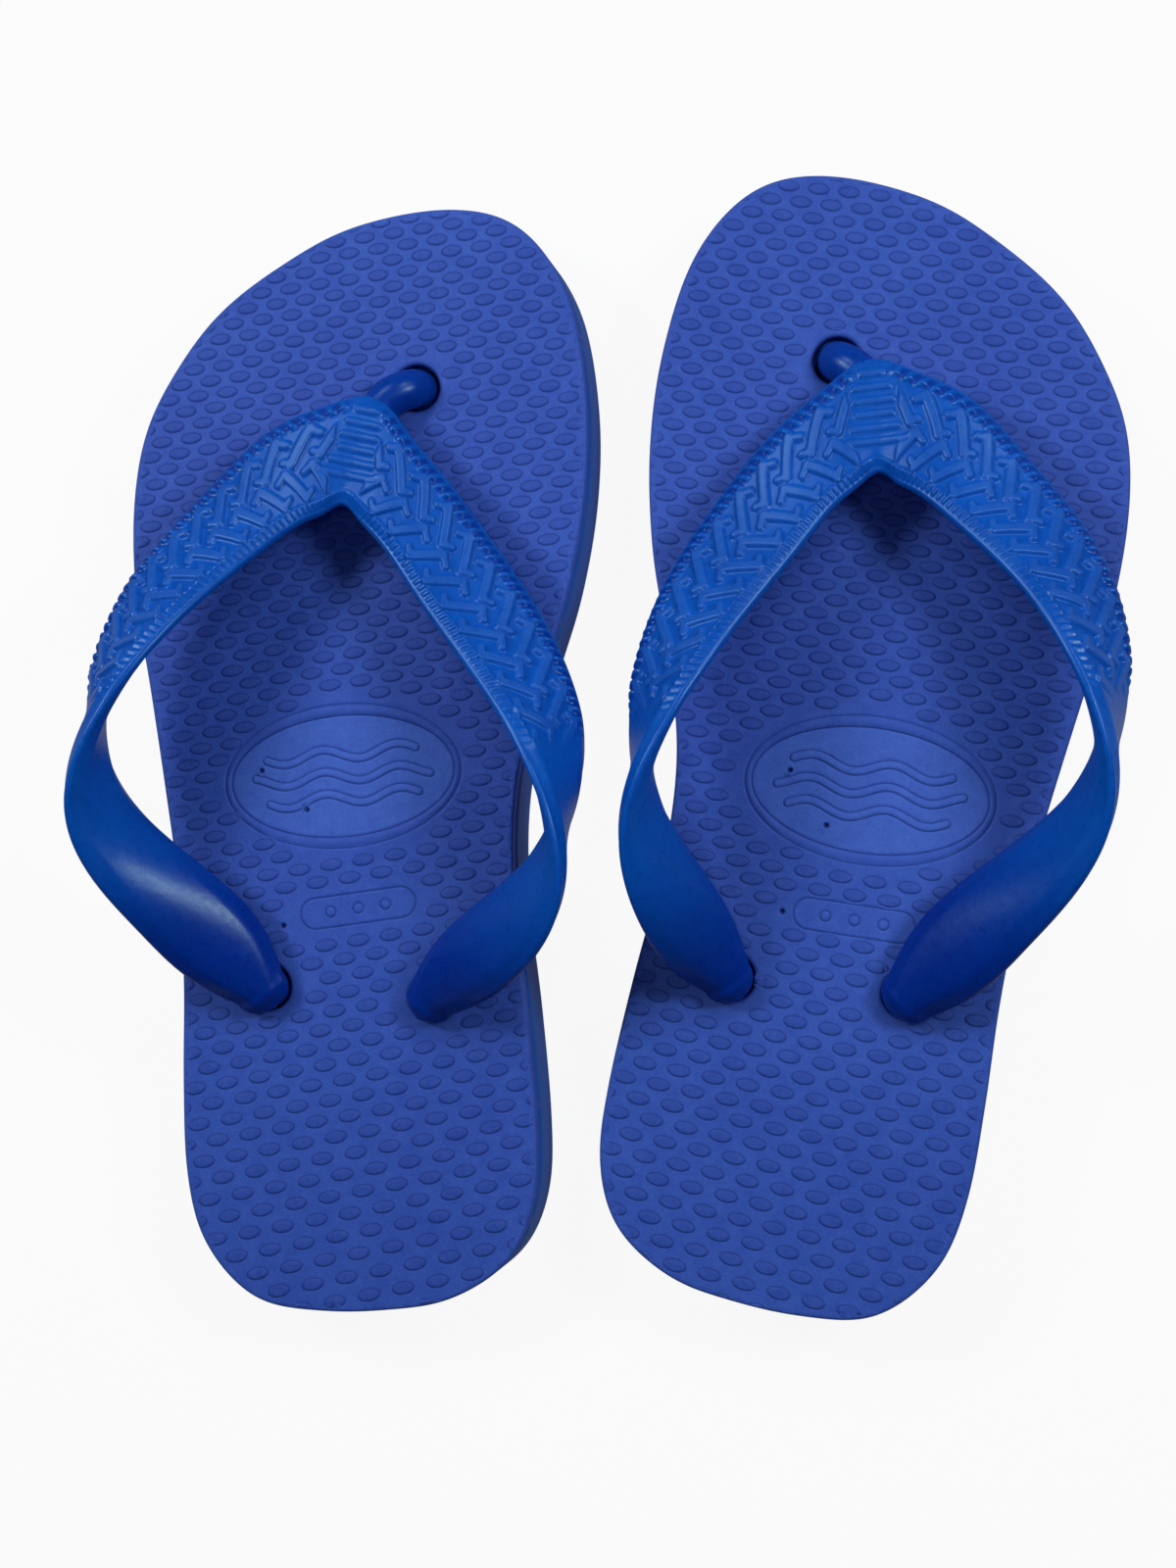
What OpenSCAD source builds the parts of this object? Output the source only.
// A pair of child's flip flops: moulded rubber soles in two layers, each with a
// one-piece V strap whose toe post and two rear posts pass through the sole and
// end in plug discs that sit in recesses under it.
// X runs from the left sandal to the right one, Y towards the toes, Z up.
// The origin is on the floor, midway between the two sandals.

/* [Sole] */
// Length of each sole from heel to toe
sole_length = 180; // [160:5:200]
// Thickness of the textured upper layer
footbed_t = 2; // [1.5:0.5:4]
// Thickness of the lower layer
outsole_t = 12.5; // [10:0.5:14]
// Distance of the bending line ahead of the middle of the sole
flex_ahead = 19; // [14:1:24]

/* [Pair] */
// Gap between the two sandals at their inner edges
pair_gap = 10; // [6:1:40]
// How far the right sandal stands ahead of the left one
stagger = 7; // [0:1:20]

/* [Strap] */
// Thickness of the strap band
strap_t = 3; // [2.5:0.25:3.5]
// Greatest height of the strap's upper edge above the footbed
strap_rise = 25; // [22:1:30]
// How far both inner legs hang towards +X: over the right sole, away from the left one
strap_sway = 5; // [0:1:6]

/* [Posts and plugs] */
// Diameter of the toe post and of the two rear posts
post_d = 6.4; // [5.6:0.2:7]
// Diameter of the three holes through the sole
hole_d = 7.4; // [7.4:0.2:8.4]
// Diameter of the plug disc on each post
plug_d = 15; // [13:0.5:16]
// Thickness of the plug disc
plug_t = 2.4; // [1.8:0.2:3]
// Diameter of the recess under the sole
recess_d = 18; // [17:0.5:20]
// Depth of the recess under the sole
recess_h = 4.2; // [3.6:0.2:5]

/* [Hidden] */

footbed_colour = [0.15, 0.22, 0.62];
outsole_colour = [0.05, 0.22, 0.5];
strap_colour = [0.0, 0.3, 0.65];

// The tables below are for a 180 mm sole, a strap rise of 25 and a sway of 5
size_ratio = sole_length / 180;
rise_ratio = strap_rise / 25;
sway_ratio = strap_sway / 5;

top_z = outsole_t + footbed_t;
flex_y = flex_ahead * size_ratio;
joint_gap = 0.01;       // clearance at the bending line and under the footbed
overcut = 1;            // how far cutting shapes pass the faces they cut

band_lift = 0.3;        // lift of the whole band above the footbed
band_bevel = 0.9;       // greatest width of the bevels along the band's edges
band_sides = 8;
root_sides = 20;
root_d = post_d * 0.98;
toe_post_rise = 0.3;    // top of the toe post above the footbed
rear_post_rise = 4.5;   // top of the rear posts above the footbed
plug_drop = 0.05;       // gap between a plug and the roof of its recess
post_lift = 0.5;        // start of a post above plug height, inside the plug

// Plan of the right sole, [x, y]: X is measured from its innermost point,
// Y from the middle of its length. Clockwise from the toe.
sole_plan = [
  [26, 90], [42, 86.5], [54, 79.5], [63.5, 71.5], [70, 62], [74.5, 51.5], [75.7, 39], [74.2, 24],
  [70.5, 9], [66.5, -8], [63, -24], [61, -39], [59.8, -55], [58, -70], [54, -81], [45, -89],
  [33.5, -90], [22.5, -88.7], [12.5, -86], [3.5, -79], [0, -69], [0.5, -57], [3.4, -39], [6.8, -21],
  [7.8, -3], [4.8, 15], [1.6, 29], [0, 45], [1, 61], [5.3, 77], [14, 87.5]
];
toe_hole = [29, 60.5];
inner_hole = [19, -38];
outer_hole = [46.5, -38.5];
rear_holes = [inner_hole, outer_hole];

// Leg stations: share of the way from the middle of the V (0) to the tip (1),
// and the heights of the upper and lower edges there
along         = [0.08, 0.17, 0.33, 0.50, 0.67, 0.83, 0.92, 1];
upper_heights = [12, 14.5, 20, 25, 23.5, 14, 8.2, 3.5];
lower_heights = [7.5, 8.5, 11, 11.5, 10, 7, 4.4, 3.3];

// Edges of the band in plan at the leg stations, [x, y]
inner_upper = [[31, 35.5], [25, 28], [14, 14.5], [4.5, 0], [0, -17.5], [8.5, -35.5], [14.5, -40.5], [19, -41.8]];
inner_lower = [[21.5, 48.5], [13, 38], [1.5, 19], [-2, 1.5], [4.5, -12], [16.5, -25.5], [21.3, -33.2], [21.8, -40]];
outer_upper = [[42.5, 38], [48.5, 33.5], [60, 22.5], [69, 9], [74, -9], [63.5, -30], [54.5, -38.5], [46.5, -42]];
outer_lower = [[48.5, 54.5], [58.5, 45.5], [72, 28.5], [76.5, 11], [71, -4.5], [54.5, -20], [45.5, -30.6], [43.4, -39.5]];

// Middle of the V, [x, y, z]
v_upper = [37.5, 41, 10];
v_lower = [34.5, 59, 6.5];

// Greatest sway of each leg edge, [x, y]
inner_upper_sway = [5, 1];
inner_lower_sway = [3.5, 0];
outer_sway = [0.5, 2];
sway_peak = 0.55;       // share of the leg where the sway is greatest
fade_start = 0.35;      // share of the leg where the shift of the V begins to fade

// Curves

function ease(f) = let (c = max(0, min(1, f))) c * c * (3 - 2 * c);
function unit(v) = v / norm(v);
function reversed(list) = [for (i = [len(list) - 1 : -1 : 0]) list[i]];

// Point at share f between p1 and p2 on a smooth curve through all four
function curve(p0, p1, p2, p3, f) =
  0.5 * ((2 * p1) + (p2 - p0) * f + (2 * p0 - 5 * p1 + 4 * p2 - p3) * f * f
         + (3 * p1 - p0 - 3 * p2 + p3) * f * f * f);
function closed_curve(points, steps) =
  let (n = len(points))
  [for (i = [0 : n - 1], j = [0 : steps - 1])
    curve(points[(i + n - 1) % n], points[i], points[(i + 1) % n], points[(i + 2) % n], j / steps)];
function open_curve(points, steps) =
  let (n = len(points))
  [for (i = [0 : n - 2], j = [0 : (i == n - 2 ? steps : steps - 1)])
    curve(points[max(i - 1, 0)], points[i], points[i + 1], points[min(i + 2, n - 1)], j / steps)];

// Faces of a solid skinned over a row of rings, with both ends capped
function skin_faces(rings, sides) = concat(
  [[for (j = [0 : sides - 1]) j]],
  [for (i = [0 : rings - 2], j = [0 : sides - 1])
    [i * sides + j, (i + 1) * sides + j, (i + 1) * sides + (j + 1) % sides]],
  [for (i = [0 : rings - 2], j = [0 : sides - 1])
    [i * sides + j, (i + 1) * sides + (j + 1) % sides, i * sides + (j + 1) % sides]],
  [[for (j = [sides - 1 : -1 : 0]) (rings - 1) * sides + j]]);

// Strap; side is 1 for the right sandal and -1 for the left one

// Sway of a leg: nothing at the V and at the tip, most at sway_peak
function bulge(s) = ease(s / sway_peak) * (1 - ease((s - sway_peak) / (1 - sway_peak)));
function fade(s) = 1 - ease((s - fade_start) / (1 - fade_start));

function leg_edge(places, heights, sway, side) =
  [for (i = [0 : len(along) - 1])
    let (shift = side * sway_ratio * (sway * bulge(along[i]) + [0, fade(along[i])]))
    [places[i].x + shift.x, places[i].y + shift.y, heights[i] * rise_ratio]];
function v_point(p, side) = [p.x, p.y + side * sway_ratio, p.z * rise_ratio];

// A whole edge of the band, from the inner tip round the V to the outer tip
function band_edge(inner, middle, outer, heights, inner_sway, side) =
  open_curve(concat(reversed(leg_edge(inner, heights, inner_sway, side)),
                    [v_point(middle, side)],
                    leg_edge(outer, heights, outer_sway, side)), 3);

// One cross-section of the band between its edge points. With raise 0 these
// lie on its top face, with raise 1 on its underside.
function band_ring(upper, lower, forward, raise) =
  let (across = unit(lower - upper), outward = unit(cross(forward, across)),
       middle = (upper + lower) / 2, width = norm(lower - upper), half = width / 2,
       bevel = min(band_bevel, width / 4), bevel_h = strap_t / 4,
       top = strap_t * raise, bottom = top - strap_t)
  [for (c = [[-half, bottom + bevel_h], [-half + bevel, bottom],
             [half - bevel, bottom], [half, bottom + bevel_h],
             [half, top - bevel_h], [half - bevel, top],
             [-half + bevel, top], [-half, top - bevel_h]])
    (middle + across * c.x + outward * c.y) * size_ratio + [0, 0, top_z + band_lift]];

module band(side) {
  upper = band_edge(inner_upper, v_upper, outer_upper, upper_heights, inner_upper_sway, side);
  lower = band_edge(inner_lower, v_lower, outer_lower, lower_heights, inner_lower_sway, side);
  shares = open_curve(concat(reversed(along), [0], along), 3);
  count = len(upper);
  points = [for (i = [0 : count - 1])
    let (next = min(i + 1, count - 1), last = max(i - 1, 0),
         forward = unit(upper[next] + lower[next] - upper[last] - lower[last]))
    each band_ring(upper[i], lower[i], forward, ease((shares[i] - 0.35) / 0.5))];
  polyhedron(points = points, faces = skin_faces(count, band_sides), convexity = 8);
}

// Curved root of the toe post, from under the V down to the mouth of its hole
module toe_root(side) {
  v = v_point(v_lower, side);
  path = open_curve([[v.x, v.y - 6, 4.6],
                     [(v.x + toe_hole.x) / 2 + 1, toe_hole.y - 2.5, 4.4],
                     [toe_hole.x + 0.8, toe_hole.y - 0.5, 2.6],
                     [toe_hole.x, toe_hole.y, 0]], 3);
  count = len(path);
  points = [for (i = [0 : count - 1])
    let (centre = [path[i].x * size_ratio, path[i].y * size_ratio, path[i].z + top_z],
         forward = i == count - 1 ? [0, 0, -1] : unit(path[i + 1] - path[max(i - 1, 0)]),
         // Any fixed direction that the path never follows
         axis_a = unit(cross(forward, [0.83, 0.55, 0.1])),
         axis_b = cross(forward, axis_a))
    for (j = [0 : root_sides - 1])
      let (turn = 360 * j / root_sides)
      centre + (axis_a * cos(turn) + axis_b * sin(turn)) * root_d / 2];
  polyhedron(points = points, faces = skin_faces(count, root_sides), convexity = 4);
}

// A post with its plug disc, reaching rise above the footbed
module post(at, rise) {
  plug_z = recess_h - plug_t;
  post_z = plug_z + post_lift;
  translate([at.x * size_ratio, at.y * size_ratio, post_z])
    cylinder(d = post_d, h = top_z + rise - post_z, $fn = 64);
  translate([at.x * size_ratio, at.y * size_ratio, plug_z - plug_drop])
    cylinder(d = plug_d, h = plug_t, $fn = 96);
}

module strap(side) {
  union() {
    band(side);
    toe_root(side);
    post(toe_hole, toe_post_rise);
    post(inner_hole, rear_post_rise);
    post(outer_hole, rear_post_rise);
  }
}

// Sole

// Part of the sole between two heights, ahead of the bending line or behind it
module sole_slab(z0, z1, front) {
  reach = 150;          // longer than either part
  intersection() {
    translate([0, 0, z0])
      linear_extrude(height = z1 - z0)
        polygon(closed_curve(sole_plan * size_ratio, 4));
    translate([-20, front ? flex_y + joint_gap : -reach, z0 - overcut])
      cube([140, front ? reach : reach + flex_y - joint_gap, z1 - z0 + 2 * overcut]);
  }
}

module bores(places, z0, z1, d) {
  for (p = places)
    translate([p.x * size_ratio, p.y * size_ratio, z0])
      cylinder(d = d, h = z1 - z0, $fn = 96);
}

function holes_in(front) = front ? [toe_hole] : rear_holes;

module footbed(front) {
  difference() {
    sole_slab(outsole_t + joint_gap, top_z, front);
    bores(holes_in(front), outsole_t - overcut, top_z + overcut, hole_d);
  }
}

module outsole(front) {
  difference() {
    sole_slab(0, outsole_t, front);
    bores(holes_in(front), -overcut, outsole_t + overcut, hole_d);
    bores(holes_in(front), -overcut, recess_h, recess_d);
  }
}

// Nodes

module right_side() { translate([pair_gap / 2, stagger / 2, 0]) children(); }
module left_side() { translate([-pair_gap / 2, -stagger / 2, 0]) mirror([1, 0, 0]) children(); }

module left_footbed_front() { color(footbed_colour) left_side() footbed(front = true); }
module left_footbed_rear() { color(footbed_colour) left_side() footbed(front = false); }
module left_outsole_front() { color(outsole_colour) left_side() outsole(front = true); }
module left_outsole_rear() { color(outsole_colour) left_side() outsole(front = false); }
module left_strap() { color(strap_colour) left_side() strap(side = -1); }
module right_footbed_front() { color(footbed_colour) right_side() footbed(front = true); }
module right_footbed_rear() { color(footbed_colour) right_side() footbed(front = false); }
module right_outsole_front() { color(outsole_colour) right_side() outsole(front = true); }
module right_outsole_rear() { color(outsole_colour) right_side() outsole(front = false); }
module right_strap() { color(strap_colour) right_side() strap(side = 1); }

left_footbed_front();
left_footbed_rear();
left_outsole_front();
left_outsole_rear();
left_strap();
right_footbed_front();
right_footbed_rear();
right_outsole_front();
right_outsole_rear();
right_strap();
